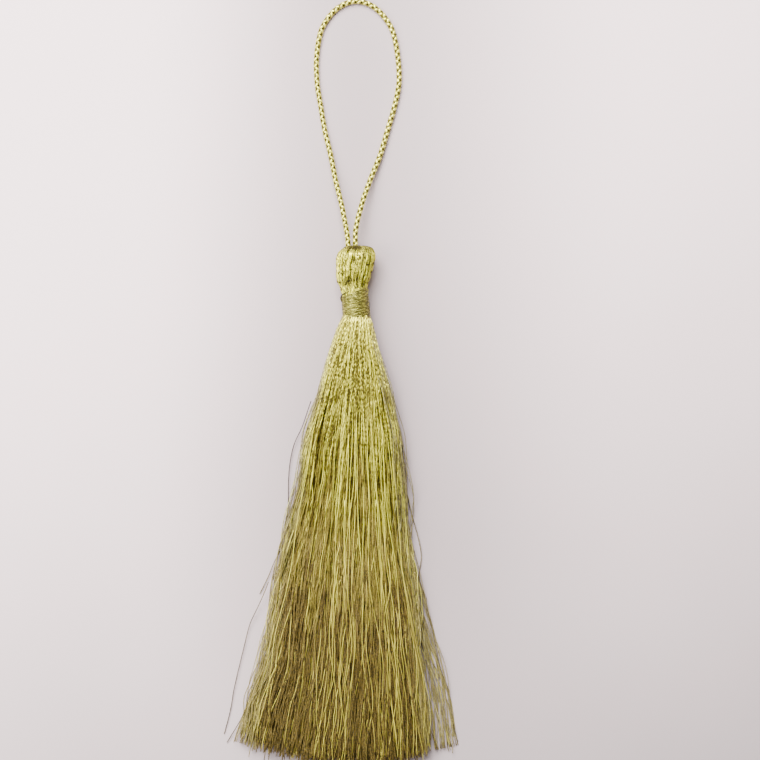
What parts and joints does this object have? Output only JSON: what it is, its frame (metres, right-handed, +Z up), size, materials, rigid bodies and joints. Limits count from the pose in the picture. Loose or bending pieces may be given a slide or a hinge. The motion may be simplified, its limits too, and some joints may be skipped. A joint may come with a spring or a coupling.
{
  "type": "silk tassel",
  "caption": "Tassel lying flat: a braided hanging loop, a round folded head, a wound neck and a long flaring skirt of loose yarn strands.",
  "frame": {"origin": "the flat spot under the head, where the tassel rests on the surface", "axes": "+X across the tassel, to the right as it is seen from above with the loop away from the viewer; +Y from the skirt's ends towards the loop; +Z up from the surface"},
  "size_m": [0.0603, 0.1946, 0.0095],
  "materials": {
    "gold_yarn": "lustrous pale gold yarn with a metallic thread, lighter at the top and browner inside the skirt",
    "binding_thread": "fine olive gold metallic thread, wound in close turns",
    "braided_cord": "round braided cord of pale gold metallic thread"
  },
  "bodies": {
    "root": {"yarn_bundle": "gold_yarn", "neck_binding": "binding_thread", "hanging_loop": "braided_cord"}
  },
  "joints": []
}
